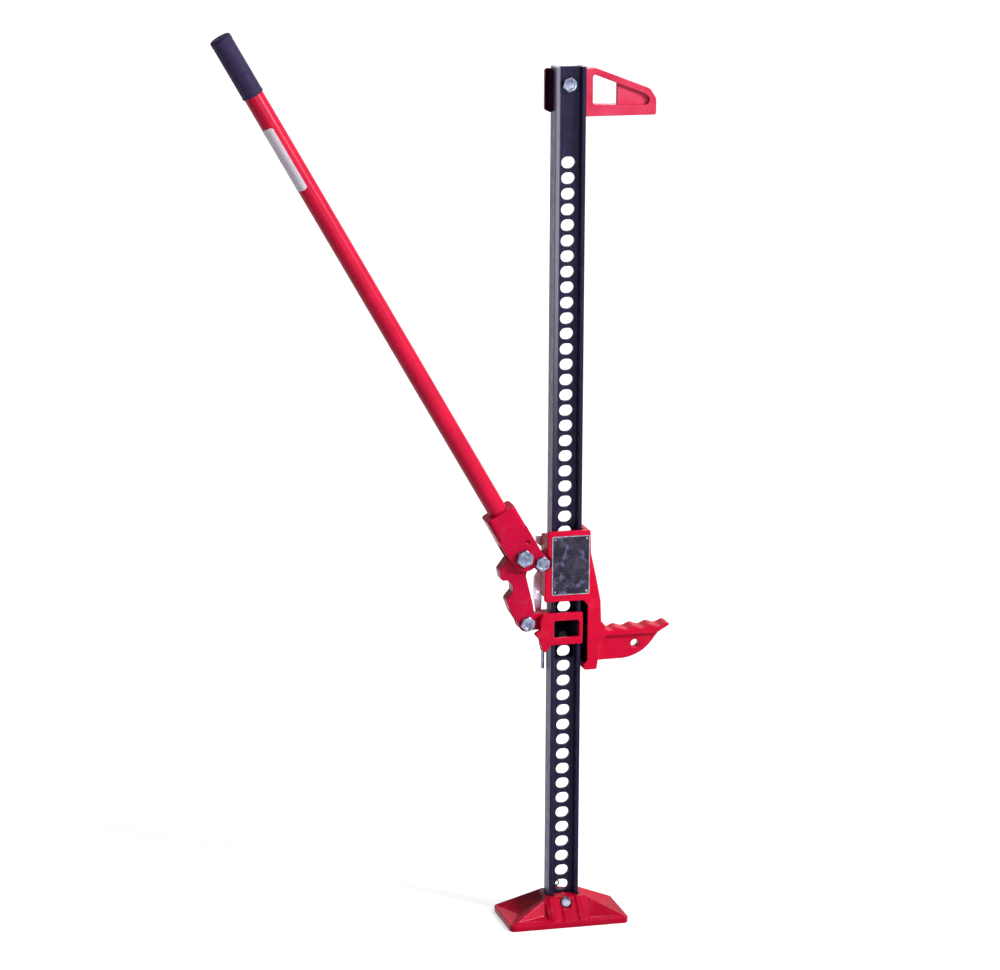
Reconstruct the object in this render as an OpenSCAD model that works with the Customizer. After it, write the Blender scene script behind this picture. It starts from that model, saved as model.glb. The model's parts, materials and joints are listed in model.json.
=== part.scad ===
// Rack-type lifting jack with a lever handle.
// +Z is up, +X is the toe side, -Y is the front. Z = 0 is the underside of the base.
// The origin is on the rack's axis. Side-view outlines are drawn as x, z.

/* [Rack] */
// Width of the rack across its two flanges
rack_w = 44; // [43:0.5:45]
// Depth of the rack's flanges, front to back
rack_d = 28; // [26:1:28]
// Thickness of the rack's web
web_t = 5; // [4:0.5:5]
// Thickness of each flange
flange_t = 6; // [5:0.5:6]
// Height of the rack's top end
rack_top = 1240; // [1235:1:1260]
// Height of the rack's bottom end, inside the base
rack_foot = 14; // [12:1:20]
// Distance from one climbing hole to the next
pitch = 22; // [22:1:22]
// Number of climbing holes
hole_count = 49; // [40:1:49]
// Height of the lowest hole's centre
first_hole = 50; // [50:1:50]
// Width of a climbing hole
hole_w = 20; // [18:1:22]
// Height of a climbing hole
hole_h = 16.5; // [16:0.5:17]

/* [Base] */
// Length of the base plate
base_l = 178; // [170:1:190]
// Width of the base plate
base_w = 102; // [98:1:110]
// Thickness of the plate at its edge
base_t = 9; // [8:1:10]
// Height of the boss that holds the rack
boss_top = 38; // [36:1:39]
// Height of the pin through the rack's foot
base_pin_z = 31; // [30:1:32]
// Radius of that pin
base_pin_r = 5; // [4:0.5:5]

/* [Top clamp] */
// Height of the clamp bolt
clamp_z = 1215; // [1213:1:1217]
// Radius of the clamp bolt
clamp_bolt_r = 6; // [5:0.5:6]

/* [Runners] */
// Inner half-width of both runners, around the rack's flanges
inside_x = 23.5; // [23:0.5:23.5]
// Distance from the rack's axis to the inner face of a cheek
inside_y = 15; // [15:0.5:15.5]
// Distance from the rack's axis to the outer face of a cheek
outside_y = 22; // [21:0.5:22]
// Radius of the climbing pins
pin_r = 7.5; // [7:0.25:7.5]
// Hole that the upper climbing pin faces, counted from the lowest
upper_hole = 22; // [22:1:22]
// Hole that the lower climbing pin faces
lower_hole = 17; // [17:1:17]

/* [Linkage] */
// Shear bolt, the fulcrum of the handle, from the rack's axis
shear_x = -38; // [-38:1:-38]
// Height of the shear bolt
shear_z = 538; // [538:1:538]
// Upper pitman bolt, from the rack's axis
crank_x = -64; // [-64:1:-64]
// Height of the upper pitman bolt
crank_z = 547; // [547:1:547]
// Lower pitman bolt, from the rack's axis
rod_x = -57; // [-57:1:-57]
// Height of the lower pitman bolt
rod_z = 449; // [449:1:449]

/* [Handle] */
// Lean of the handle from the vertical
lean = 30; // [28:1:32]
// Length of the handle from the upper pitman bolt to the grip's end
handle_l = 856; // [800:1:860]
// Outer diameter of the tube
tube_d = 28; // [27:0.5:28]
// Wall of the tube
tube_wall = 2.5; // [2:0.5:3]
// Length of the grip
grip_l = 91; // [85:1:110]
// Outer diameter of the grip
grip_d = 31; // [30.5:0.5:33]
// Length of the blank label
label_l = 98; // [80:1:110]
// Distance from the grip's end to the label
label_gap = 139; // [120:1:150]

/* [Hidden] */
$fn = 64;
running = 0.05;        // radial play of a turning or sliding shaft
loose = 0.25;          // radial play of a bolt that clamps
through = 0.5;         // how far a cut runs past a face
gap = 0.3;             // side play between moving faces

rack_hw = rack_w / 2;
rack_hd = rack_d / 2;
web_h = web_t / 2;
slot_w = rack_hw - flange_t;
upper_z = first_hole + upper_hole * pitch;
lower_z = first_hole + lower_hole * pitch;

// Lug around the base pin, as distances from the rack's axis
lug_y = 23;
lug_round = 8;
head_room = 8.3;
cotter_room = 9.5;
cotter_y = 27;
base_pin_end = 32;

// Large runner
runner_top = 583;
runner_bottom = 480;
tail_bottom = 377;
tail_x = 29.5;         // inner face of the relieved tail
wall_x = 28.5;         // outer face of the left wall
lug_hw = 12;           // half-thickness of the lug inside the fork
lug_r = 11.5;
relief_r = 13.5;       // room for the fork's arms beside the cheeks
bolt_r = 6;
crank_r = 7;

// Climbing-pin housings, as distances back from the rack's axis
housing_r = 13.5;
chamber_r = 10.5;
chamber_y = 26;
housing_end = 56;
cap_t = 3;
pin_nose = web_h + 0.3;
collar_y = 37;
collar_t = 3;
collar_r = 10;
tail_r = 4.5;
tail_end = 78;
cross_y = 72;
cross_r = 2;
cross_l = 22;
spring_wire = 0.8;
spring_turns = 5;
spring_r = 8.4;

// Toe
tooth_count = 4;
tooth_pitch = 24.5;
tooth_climb = 0.9;     // each tooth above the one before it
toe_hw = 14;
gusset_hw = 7;
toe_hole = [105, 407.5];
toe_hole_r = 6;

// Handle socket, measured from the upper pitman bolt along the handle
tube_x = 3;            // the tube's axis beside the bolt
socket_hw = 23;
socket_hd = 19;
socket_end = 74;
fork_depth = 30;
fork_hw = 12.4;
arm_r = 21.5;
shear_arm_r = 12.5;
tube_seat = 41;
tube_r = tube_d / 2;
roll_pin_z = 57;
roll_pin_r = 3;

// Pitman
pitman_hw = 12;
pitman_slot = 8;
pitman_slot_top = 468;
ear_hw = 7.5;
ear_r = 12;

// Small runner
small_top = 463;
small_bottom = 416.5;

// Reversing latch
latch_y = 22.6;
latch_t = 4;
latch_pivot = [-21, 540];
latch_screw_r = 4;

red = [0.78, 0.04, 0.14];
navy = [0.05, 0.05, 0.09];
zinc = [0.75, 0.76, 0.78];
steel = [0.30, 0.31, 0.33];
violet = [0.17, 0.13, 0.22];

// ---- outlines with rounded corners: each point is [x, z, corner radius] ----
function flat(p) = [p[0], p[1]];
function unit(v) = v / norm(v);
function turn(d) = d > 180 ? d - 360 : d < -180 ? d + 360 : d;
function spoke(a) = [cos(a), sin(a)];
function bend(mid, r, start, sweep, steps) =
    [for (i = [0:steps]) mid + r * spoke(start + sweep * i / steps)];
function corner_between(u, v, b, half) =
    let(mid = flat(b) + unit(u + v) * b[2] / sin(half))
    let(first = flat(b) + u * b[2] / tan(half) - mid)
    let(last = flat(b) + v * b[2] / tan(half) - mid)
    let(start = atan2(first[1], first[0]))
    bend(mid, b[2], start, turn(atan2(last[1], last[0]) - start), 5);
function corner(a, b, c) =
    let(u = unit(flat(a) - flat(b)), v = unit(flat(c) - flat(b)))
    b[2] == 0 ? [flat(b)] : corner_between(u, v, b, acos(u * v) / 2);
function rounded(p) =
    let(n = len(p))
    [for (i = [0:n - 1]) each corner(p[(i + n - 1) % n], p[i], p[(i + 1) % n])];
function box_outline(x0, z0, x1, z1, r) =
    rounded([[x0, z0, r], [x1, z0, r], [x1, z1, r], [x0, z1, r]]);

// ---- general shapes ----
// A side-view outline given thickness from y0 to y1
module slab(y0, y1) {
    translate([0, y1, 0]) rotate([90, 0, 0]) linear_extrude(height = y1 - y0) children();
}

// A cylinder along Y at x, z
module rod(x, z, r, y0, y1) {
    translate([x, y1, z]) rotate([90, 0, 0]) cylinder(r = r, h = y1 - y0);
}

// A hexagon along Y with its corners chamfered at one end or both
module hexagon(x, z, across, y0, y1) {
    r = across / 2 / cos(30);
    intersection() {
        translate([x, y1, z]) rotate([90, 0, 0]) cylinder(r = r, h = y1 - y0, $fn = 6);
        translate([x, y1, z]) rotate([90, 0, 0]) rotate_extrude()
            polygon([[0, 0], [r - 1.2, 0], [r, 0.9], [r, y1 - y0 - 0.9], [r - 1.2, y1 - y0],
                [0, y1 - y0]]);
    }
}

// A hexagon-head bolt along Y: head in front of y_head, thread end at y_tip
module bolt(x, z, r, across, head_t, y_head, y_tip) {
    hexagon(x, z, across, y_head - head_t, y_head);
    translate([x, y_head, z]) rotate([-90, 0, 0]) rotate_extrude()
        polygon([[0, 0], [r, 0], [r, y_tip - y_head - 1], [r - 1, y_tip - y_head],
            [0, y_tip - y_head]]);
}

module nut(x, z, r, across, y0, y1) {
    difference() {
        hexagon(x, z, across, y0, y1);
        rod(x, z, r + running, y0 - through, y1 + through);
    }
}

// A coil spring along Y, swept as rings of eight points
function coil_point(r, wire, turns, length, t, k) =
    let(a = t * turns * 360, out = r + wire * cos(k * 45))
    [out * cos(a), wire + (length - 2 * wire) * t + wire * sin(k * 45), out * sin(a)];

module coil(r, wire, turns, length) {
    rings = turns * 14;
    side = [for (i = [0:rings - 1]) for (k = [0:7])
        [i * 8 + k, i * 8 + (k + 1) % 8, (i + 1) * 8 + (k + 1) % 8, (i + 1) * 8 + k]];
    ends = [[for (k = [7:-1:0]) k], [for (k = [0:7]) rings * 8 + k]];
    polyhedron(points = [for (i = [0:rings]) for (k = [0:7])
        coil_point(r, wire, turns, length, i / rings, k)], faces = concat(side, ends));
}

// ---- rack and what is fixed to it ----
module rack_bar() {
    e = 1.5;
    f = 2.5;
    color(navy) difference() {
        translate([0, 0, rack_foot]) linear_extrude(height = rack_top - rack_foot)
            polygon(rounded([
                [-rack_hw, -rack_hd, e], [-slot_w, -rack_hd, e], [-slot_w, -web_h, f],
                [slot_w, -web_h, f], [slot_w, -rack_hd, e], [rack_hw, -rack_hd, e],
                [rack_hw, rack_hd, e], [slot_w, rack_hd, e], [slot_w, web_h, f],
                [-slot_w, web_h, f], [-slot_w, rack_hd, e], [-rack_hw, rack_hd, e]]));
        for (i = [0:hole_count - 1]) translate([0, 0, first_hole + i * pitch]) climbing_hole();
        rod(0, clamp_z, clamp_bolt_r + loose, -web_t, web_t);
        rod(0, base_pin_z, base_pin_r + loose, -web_t, web_t);
    }
}

module climbing_hole() {
    side = (hole_w - hole_h) / 2;
    rod(-side, 0, hole_h / 2, -web_t, web_t);
    rod(side, 0, hole_h / 2, -web_t, web_t);
    translate([-side, -web_t, -hole_h / 2]) cube([2 * side, 2 * web_t, hole_h]);
}

// The wall of a side valley is the plane through the ridge's two ends and the valley's foot
ridge_in = [28, 18, boss_top];
ridge_out = [84, 46, base_t + 2];
valley_foot = [64, 0, base_t];
valley_n = cross(ridge_out - ridge_in, valley_foot - ridge_in);
function valley_y(x, z) =
    -(valley_n[0] * (x - valley_foot[0]) + valley_n[2] * (z - valley_foot[2])) / valley_n[1];

module side_valley() {
    near = ridge_in[0] + 1.5;
    far = base_l / 2 + 11;
    high = boss_top + 22;
    floor_z = base_t;
    line_z = floor_z - valley_n[0] * (near - valley_foot[0]) / valley_n[2];
    hull() for (side = [-1, 1]) for (p = [
        [valley_foot[0], 0, floor_z], [near, 0, line_z], [near, valley_y(near, high), high],
        [far, valley_y(far, floor_z), floor_z], [far, valley_y(far, high), high]])
        translate([p[0], side * p[1], p[2]]) cube(0.02, center = true);
}

// A scooped pocket in the front slope, between a diagonal ridge and an outer rib. The slope's
// points share one sum of y and z, and the pocket is deepest at the rib's side.
module slope_pocket() {
    slope = 58;
    deepest = [33, 34.5, base_t + 5];
    hull() {
        for (p = [[30.5, 35], [80.5, 11], [28.5, 11]]) for (out = [0, 8])
            translate([p[0], slope - p[1] + out, p[1] + out]) cube(0.02, center = true);
        translate(deepest) cube(0.02, center = true);
    }
}

module base_rib(x0, x1, foot_y) {
    translate([x0, 0, 0]) rotate([90, 0, 90]) linear_extrude(height = x1 - x0)
        polygon([[-foot_y, base_t - 1], [-foot_y, base_t + 2], [-lug_y, boss_top],
            [lug_y, boss_top], [foot_y, base_t + 2], [foot_y, base_t - 1]]);
}

module base_plate() {
    foot_x = base_l / 2 - 3;
    foot_y = base_w / 2 - 2;
    play = 0.4;
    color(red) difference() {
        union() {
            linear_extrude(height = base_t)
                polygon(box_outline(-base_l / 2, -base_w / 2, base_l / 2, base_w / 2, 9));
            difference() {
                hull() {
                    translate([-28, -20, boss_top - 1]) cube([56, 40, 1]);
                    translate([-foot_x, -foot_y, base_t - 1]) cube([2 * foot_x, 2 * foot_y, 1]);
                }
                for (side = [0, 1]) mirror([side, 0, 0]) {
                    side_valley();
                    slope_pocket();
                    mirror([0, 1, 0]) slope_pocket();
                }
            }
            base_rib(-26, -15, foot_y);
            base_rib(15, 26, foot_y);
            base_rib(-7.5, 7.5, foot_y);
            rod(0, base_pin_z, lug_round, -lug_y, lug_y);
        }
        difference() {
            translate([-rack_hw - play, -rack_hd - play, rack_foot])
                cube([rack_w + 2 * play, rack_d + 2 * play, boss_top]);
            for (side = [0, 180]) rotate(side) translate([0, 0, rack_foot - through])
                linear_extrude(height = boss_top - rack_foot + through + 1)
                    polygon(box_outline(-slot_w + play, web_h + play, slot_w - play,
                        web_h + play + rack_hd, 2.1));
        }
        rod(0, base_pin_z, base_pin_r + loose, -base_w, base_w);
        rod(0, base_pin_z, head_room, -base_w, -lug_y);
        rod(0, base_pin_z, cotter_room, lug_y, base_w);
    }
}

module base_pin() {
    color(zinc) difference() {
        union() {
            rod(0, base_pin_z, base_pin_r, -lug_y, base_pin_end);
            translate([0, -lug_y, base_pin_z]) rotate([90, 0, 0]) rotate_extrude()
                polygon([[0, 0], [7.5, 0], [7.5, 4.5], [6.5, 6], [0, 6]]);
        }
        translate([0, cotter_y, base_pin_z]) cylinder(r = 1.75, h = 20, center = true);
    }
}

module base_cotter() {
    color(zinc) translate([0, cotter_y, base_pin_z]) {
        translate([0, 0, -9]) cylinder(r = 1.5, h = 18);
        translate([0, 0, 11.5]) rotate([90, 0, 0]) rotate_extrude()
            translate([3.5, 0]) circle(r = 1.5, $fn = 24);
    }
}

module clamp_frame_outline() {
    polygon(rounded([[22.6, 1170, 2], [125, 1170, 3], [125, 1193, 8], [116, 1207, 8],
        [38, 1237, 6], [22.6, 1237, 3]]));
}

module top_clamp() {
    back = rack_hd + 0.6;
    side = rack_hw + 0.6;
    color(red) difference() {
        union() {
            slab(-9, 9) difference() {
                clamp_frame_outline();
                polygon(rounded([[33, 1187, 3], [112, 1184, 5], [116, 1193, 5], [108, 1200, 4],
                    [33, 1229, 3]]));
            }
            slab(-3, 3) polygon([[69, 1182], [114, 1182], [114, 1197], [69, 1215]]);
            translate([side, -9, 1170]) cube([31 - side, 31, 67]);
            slab(back, back + 7) polygon(box_outline(-30, 1177, 31, 1236, 5));
            slab(-4, back + 7) polygon(box_outline(-30, 1177, -side, 1235, 3));
            rod(0, clamp_z, 13, web_h, back + 1);
        }
        rod(0, clamp_z, clamp_bolt_r + loose, 0, 40);
    }
}

module top_clamp_bolt() {
    color(zinc) bolt(0, clamp_z, clamp_bolt_r, 19, 7.5, -web_h, 35);
}

module top_clamp_nut() {
    color(zinc) nut(0, clamp_z, clamp_bolt_r, 19, rack_hd + 7.6, rack_hd + 17.6);
}

// ---- large runner ----
module runner_wall_outline() {
    polygon(rounded([
        [inside_x, runner_top, 0], [33, runner_top, 3], [34, 549, 0], [42, 513, 0],
        [49, 478, 0], [50, 448, 3], [56, 441, 0], [56, 424, 0], [50, 420, 0], [46, 392, 0],
        [44, tail_bottom, 3], [26, tail_bottom, 0], [inside_x, 380, 0], [inside_x, 384, 2],
        [tail_x, 391, 4], [tail_x, 473, 4], [inside_x, runner_bottom, 2]]));
}

module front_cheek_outline() {
    polygon(rounded([
        [-34, runner_bottom, 3], [-34, 520, 0], [-30, 553, 0], [-30, runner_top, 3],
        [28, runner_top, 0], [28, runner_bottom, 0]]));
}

module toe_plate_outline() {
    polygon(rounded([[46, 423, 0], [136, 423, 3], [156.5, 435.2, 1.5],
        for (i = [tooth_count - 1:-1:0]) each [
            [76.7 + i * tooth_pitch, 435.2 + i * tooth_climb, 6],
            [64.5 + i * tooth_pitch, 429.6 + i * tooth_climb, 10]],
        [46, 444, 0]]));
}

module gusset_outline() {
    polygon(rounded([[46, 430, 0], [46, 386, 0], [96, 386.5, 60], [121, 398, 55],
        [139, 421, 0], [139, 426, 0]]));
}

module pin_housing(z) {
    rod(0, z, housing_r, inside_y + 1, housing_end);
}

// The bore, the spring chamber and the two side windows
module pin_housing_cut(z) {
    rod(0, z, pin_r + running, inside_y - through, chamber_y + through);
    rod(0, z, chamber_r, chamber_y, housing_end + through);
    translate([-2 * housing_r, 33, z - 5]) cube([4 * housing_r, 18, 10]);
}

module large_runner() {
    color(red) difference() {
        union() {
            slab(-outside_y, -inside_y) front_cheek_outline();
            slab(inside_y, outside_y) polygon(box_outline(-wall_x, runner_bottom, 28, 572, 3));
            slab(-outside_y, outside_y) runner_wall_outline();
            slab(-outside_y, outside_y) polygon(rounded([[-wall_x, runner_bottom, 3],
                [-wall_x, 572, 3], [-inside_x, 572, 0], [-inside_x, runner_bottom, 0]]));
            translate([28, inside_y, tail_bottom + 4])
                cube([8, outside_y - inside_y, runner_bottom - tail_bottom]);
            rod(shear_x, shear_z, lug_r, -lug_hw, lug_hw);
            translate([shear_x, -lug_hw, shear_z - lug_r])
                cube([-shear_x - inside_x, 2 * lug_hw, 2 * lug_r]);
            slab(-toe_hw, toe_hw) toe_plate_outline();
            slab(-gusset_hw, gusset_hw) gusset_outline();
            pin_housing(upper_z);
        }
        rod(shear_x, shear_z, bolt_r + running, -outside_y, outside_y);
        for (side = [-1, 1]) translate([0, side * (lug_hw + outside_y + 1) / 2, 0])
            rod(shear_x, shear_z, relief_r, -(outside_y + 1 - lug_hw) / 2,
                (outside_y + 1 - lug_hw) / 2);
        rod(toe_hole[0], toe_hole[1], toe_hole_r, -toe_hw, toe_hw);
        rod(latch_pivot[0], latch_pivot[1], latch_screw_r + running, inside_y - 1, outside_y + 1);
        pin_housing_cut(upper_z);
    }
}

module data_plate() {
    color(steel) slab(-outside_y - 1, -outside_y) polygon(box_outline(-24, 490, 31.5, 576, 2));
}

module shear_bolt() {
    color(zinc) bolt(shear_x, shear_z, bolt_r, 19, 7.5, -socket_hd - gap, 32);
}

module shear_nut() {
    color(zinc) nut(shear_x, shear_z, bolt_r, 18, socket_hd + gap, socket_hd + gap + 10);
}

module spring_cap(z) {
    color(steel) translate([0, housing_end, z]) rotate([-90, 0, 0]) difference() {
        union() {
            cylinder(r = housing_r, h = cap_t);
            translate([0, 0, -cap_t]) cylinder(r = chamber_r - 0.1, h = cap_t + 1);
        }
        cylinder(r = tail_r + 0.1, h = 4 * cap_t, center = true);
    }
}

module pin_spring(z) {
    start = collar_y + collar_t;
    color(steel) translate([0, start + 0.1, z])
        coil(spring_r, spring_wire, spring_turns, housing_end - cap_t - start - 0.2);
}

module climbing_pin(z) {
    nose = 1.5;
    color(steel) difference() {
        translate([0, 0, z]) rotate([-90, 0, 0]) rotate_extrude() polygon([
            [0, pin_nose], [pin_r - nose, pin_nose], [pin_r, pin_nose + nose],
            [pin_r, collar_y], [collar_r, collar_y], [collar_r, collar_y + collar_t],
            [tail_r, collar_y + collar_t], [tail_r, tail_end - 1], [tail_r - 1, tail_end],
            [0, tail_end]]);
        translate([0, cross_y, z]) cylinder(r = cross_r + running, h = 4 * tail_r, center = true);
    }
}

module cross_pin(z) {
    color(zinc) translate([0, cross_y, z]) cylinder(r = cross_r, h = cross_l, center = true);
}

module upper_spring_cap() { spring_cap(upper_z); }
module upper_pin_spring() { pin_spring(upper_z); }
module upper_climbing_pin() { climbing_pin(upper_z); }
module upper_cross_pin() { cross_pin(upper_z); }
module lower_spring_cap() { spring_cap(lower_z); }
module lower_pin_spring() { pin_spring(lower_z); }
module lower_climbing_pin() { climbing_pin(lower_z); }
module lower_cross_pin() { cross_pin(lower_z); }

// ---- small runner ----
module small_front_outline() {
    difference() {
        polygon(rounded([[-40, 440, 2], [-49.5, 434.5, 2], [-42.5, 427, 4], [-36, 408, 2],
            [-31, 406, 2], [-25, small_bottom, 2],
            [22.5, small_bottom, 2], [22.5, small_top, 2], [-36, small_top, 3], [-40, 455, 3]]));
        polygon(box_outline(-20, 427, 17, 452, 3));
    }
}

module small_runner() {
    rear_top = 449;
    ear_slot = [[-0.75, -0.6], [3.95, -0.6]];
    slot_r = 7;
    color(red) difference() {
        union() {
            slab(-outside_y, -inside_y) small_front_outline();
            slab(-outside_y, outside_y) polygon([[-31, small_bottom - 6], [-inside_x, small_bottom],
                [-inside_x, rear_top], [-31, rear_top]]);
            slab(-outside_y, inside_y - 6) polygon([[-31, rear_top - 2], [-inside_x, rear_top - 2],
                [-inside_x, small_top], [-31, small_top]]);
            slab(inside_y, outside_y) polygon(rounded([[-31, 405, 3], [20, 405, 3],
                [22.6, small_bottom, 0], [26.8, small_bottom, 0], [26.8, rear_top, 3],
                [-31, rear_top, 3]]));
            translate([inside_x, 0, small_bottom]) cube([3.3, outside_y - 1, rear_top - small_bottom]);
            rod(rod_x, rod_z, ear_r, -ear_hw, ear_hw);
            translate([rod_x, -ear_hw, rod_z - ear_r])
                cube([-rod_x - inside_x, 2 * ear_hw, 2 * ear_r]);
            translate([-25.5, 18.5, 400]) cylinder(r = 4, h = 20);
            pin_housing(lower_z);
        }
        for (p = ear_slot) rod(rod_x + p[0], rod_z + p[1], slot_r, -20, 20);
        translate([rod_x + ear_slot[0][0], -20, rod_z + ear_slot[0][1] - slot_r])
            cube([ear_slot[1][0] - ear_slot[0][0], 40, 2 * slot_r]);
        translate([-25.5, 18.5, 390]) cylinder(r = 2.6, h = 26);
        pin_housing_cut(lower_z);
    }
}

module release_rod() {
    color(zinc) translate([-25.5, 18.5, 372]) cylinder(r = 2.5, h = 43);
}

// ---- handle ----
module on_handle() {
    translate([crank_x, 0, crank_z]) rotate([0, -lean, 0]) children();
}

function to_handle(x, z) =
    [(x - crank_x) * cos(lean) + (z - crank_z) * sin(lean),
     (z - crank_z) * cos(lean) - (x - crank_x) * sin(lean)];
shear_at = to_handle(shear_x, shear_z);

module arm_outline() {
    left = tube_x - socket_hw;
    right = tube_x + socket_hw;
    translate([left + arm_r, 0]) circle(r = arm_r);
    translate(shear_at) circle(r = shear_arm_r);
    polygon([[left, 0], [left, fork_depth + 10], [right, fork_depth + 10],
        [right, shear_at[1]], [shear_at[0] - 6, shear_at[1]], [0, 0]]);
}

module handle_socket() {
    left = tube_x - socket_hw;
    right = tube_x + socket_hw;
    color(red) on_handle() difference() {
        union() {
            slab(-socket_hd, -fork_hw) arm_outline();
            slab(fork_hw, socket_hd) arm_outline();
            translate([0, 0, fork_depth]) linear_extrude(height = socket_end - fork_depth)
                polygon(box_outline(left, -socket_hd, right, socket_hd, 7));
        }
        rod(0, 0, crank_r + loose, -30, 30);
        rod(shear_at[0], shear_at[1], bolt_r + running, -30, 30);
        rod(16, 17, 2.75, -30, 30);
        translate([tube_x, 0, tube_seat - 1]) cylinder(r = tube_r + 0.1, h = socket_end);
        translate([tube_x, 0, roll_pin_z]) rotate([0, 90, 0])
            cylinder(r = roll_pin_r, h = 60, center = true);
    }
}

module handle_tube() {
    end = handle_l - 5;
    color(red) on_handle() translate([tube_x, 0, 0]) difference() {
        translate([0, 0, tube_seat]) cylinder(r = tube_r, h = end - tube_seat);
        translate([0, 0, tube_seat - 1]) cylinder(r = tube_r - tube_wall, h = end);
        translate([0, 0, roll_pin_z]) rotate([0, 90, 0])
            cylinder(r = roll_pin_r, h = 60, center = true);
    }
}

module tube_roll_pin() {
    color(steel) on_handle() translate([tube_x, 0, roll_pin_z]) rotate([0, 90, 0]) difference() {
        cylinder(r = roll_pin_r, h = 2 * socket_hw, center = true);
        cylinder(r = roll_pin_r - 1, h = 3 * socket_hw, center = true);
    }
}

module handle_grip() {
    r = grip_d / 2;
    bore = tube_r + running;
    color(violet) on_handle() translate([tube_x, 0, handle_l - grip_l]) rotate_extrude()
        polygon(rounded([[bore, 0, 0], [r - 0.5, 0, 0.5], [r, 2, 1], [r, grip_l, 3],
            [0, grip_l, 0], [0, grip_l - 5, 0], [bore, grip_l - 5, 0]]));
}

module handle_label() {
    color("white") on_handle() translate([tube_x, 0, handle_l - label_gap - label_l])
        rotate(165) rotate_extrude(angle = 100)
            translate([tube_r + 0.02, 0]) square([0.3, label_l]);
}

module pitman_upper_bolt() {
    color(zinc) bolt(crank_x, crank_z, crank_r, 22, 8.5, -socket_hd, 31);
}

module pitman_upper_nut() {
    color(zinc) nut(crank_x, crank_z, crank_r, 22, socket_hd, socket_hd + 9);
}

// ---- pitman ----
module pitman_outline() {
    translate([crank_x, crank_z]) circle(r = 13);
    translate([rod_x, rod_z]) circle(r = 13);
    polygon(rounded([[-72, 549, 0], [-87, 543, 4], [-98, 528, 4], [-95, 513, 4], [-85, 513, 3],
        [-79, 505, 4], [-78, 496, 4], [-88, 484, 5], [-81, 466, 8], [-69, 447, 2],
        [-57, 442, 0], [-45, 453, 3], [-48.5, 476, 6], [-59, 518, 6], [-53, 547, 3]]));
}

module pitman() {
    color(red) difference() {
        slab(-pitman_hw, pitman_hw) pitman_outline();
        rod(crank_x, crank_z, crank_r + running, -20, 20);
        rod(rod_x, rod_z, bolt_r + running, -20, 20);
        translate([-110, -pitman_slot, 400])
            cube([80, 2 * pitman_slot, pitman_slot_top - 400]);
    }
}

module pitman_lower_bolt() {
    color(zinc) bolt(rod_x, rod_z, bolt_r, 19, 7.5, -pitman_hw, 25);
}

module pitman_lower_nut() {
    color(zinc) nut(rod_x, rod_z, bolt_r, 19, pitman_hw, pitman_hw + 10);
}

// ---- reversing latch ----
module latch_outline() {
    polygon(rounded([[-34, 446, 2], [-30, 446, 2], [-27, 456, 6], [-25.5, 502, 8], [-15.8, 522, 6],
        [-15.8, 552, 4], [-24, 560, 3], [-25, 567, 3], [-36, 567, 3], [-36, 558, 3],
        [-26.6, 551, 4], [-26.6, 526, 6], [-38.5, 506, 6], [-39, 480, 8]]));
}

module reversing_latch() {
    color(zinc) difference() {
        slab(latch_y, latch_y + latch_t) latch_outline();
        rod(latch_pivot[0], latch_pivot[1], latch_screw_r + running, 20, 30);
        rod(-32.5, 484, 2.5, 20, 30);
    }
}

module latch_pivot_screw() {
    head_y = latch_y + latch_t + 0.2;
    color(steel) {
        rod(latch_pivot[0], latch_pivot[1], latch_screw_r, inside_y, head_y);
        rod(latch_pivot[0], latch_pivot[1], 5.4, head_y, head_y + 3);
    }
}

rack_bar();
base_plate();
base_pin();
base_cotter();
top_clamp();
top_clamp_bolt();
top_clamp_nut();
large_runner();
data_plate();
shear_bolt();
shear_nut();
upper_spring_cap();
upper_pin_spring();
upper_climbing_pin();
upper_cross_pin();
small_runner();
lower_spring_cap();
lower_pin_spring();
lower_climbing_pin();
lower_cross_pin();
release_rod();
handle_socket();
handle_tube();
handle_grip();
handle_label();
tube_roll_pin();
pitman();
pitman_upper_bolt();
pitman_upper_nut();
pitman_lower_bolt();
pitman_lower_nut();
reversing_latch();
latch_pivot_screw();
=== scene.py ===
import json
import math

import bmesh
import bpy
import numpy as np
from mathutils import Matrix, Vector

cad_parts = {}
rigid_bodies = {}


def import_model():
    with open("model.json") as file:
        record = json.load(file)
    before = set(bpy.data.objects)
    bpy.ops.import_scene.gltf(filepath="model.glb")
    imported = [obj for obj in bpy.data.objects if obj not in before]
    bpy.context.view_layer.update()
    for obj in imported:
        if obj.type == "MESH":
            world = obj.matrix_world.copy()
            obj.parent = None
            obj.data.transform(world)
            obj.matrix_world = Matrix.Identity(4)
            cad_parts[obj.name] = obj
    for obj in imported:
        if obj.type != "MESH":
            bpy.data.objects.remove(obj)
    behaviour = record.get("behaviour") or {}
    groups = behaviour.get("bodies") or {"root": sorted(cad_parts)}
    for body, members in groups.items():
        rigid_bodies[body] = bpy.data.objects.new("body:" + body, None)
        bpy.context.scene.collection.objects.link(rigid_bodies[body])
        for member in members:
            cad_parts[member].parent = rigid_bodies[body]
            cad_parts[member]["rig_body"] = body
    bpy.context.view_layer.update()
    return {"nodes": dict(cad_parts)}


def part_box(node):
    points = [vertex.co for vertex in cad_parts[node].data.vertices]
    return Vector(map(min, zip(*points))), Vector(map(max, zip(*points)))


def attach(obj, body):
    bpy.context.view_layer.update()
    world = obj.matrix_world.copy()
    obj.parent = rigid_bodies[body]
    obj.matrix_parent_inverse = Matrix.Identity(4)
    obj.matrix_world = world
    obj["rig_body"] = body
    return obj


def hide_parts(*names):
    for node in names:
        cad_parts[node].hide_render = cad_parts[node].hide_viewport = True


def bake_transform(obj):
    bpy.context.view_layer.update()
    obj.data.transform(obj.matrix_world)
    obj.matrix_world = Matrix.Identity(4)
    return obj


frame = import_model()
NODES = frame["nodes"]
SCENE = bpy.context.scene
MM = 0.001
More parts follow.
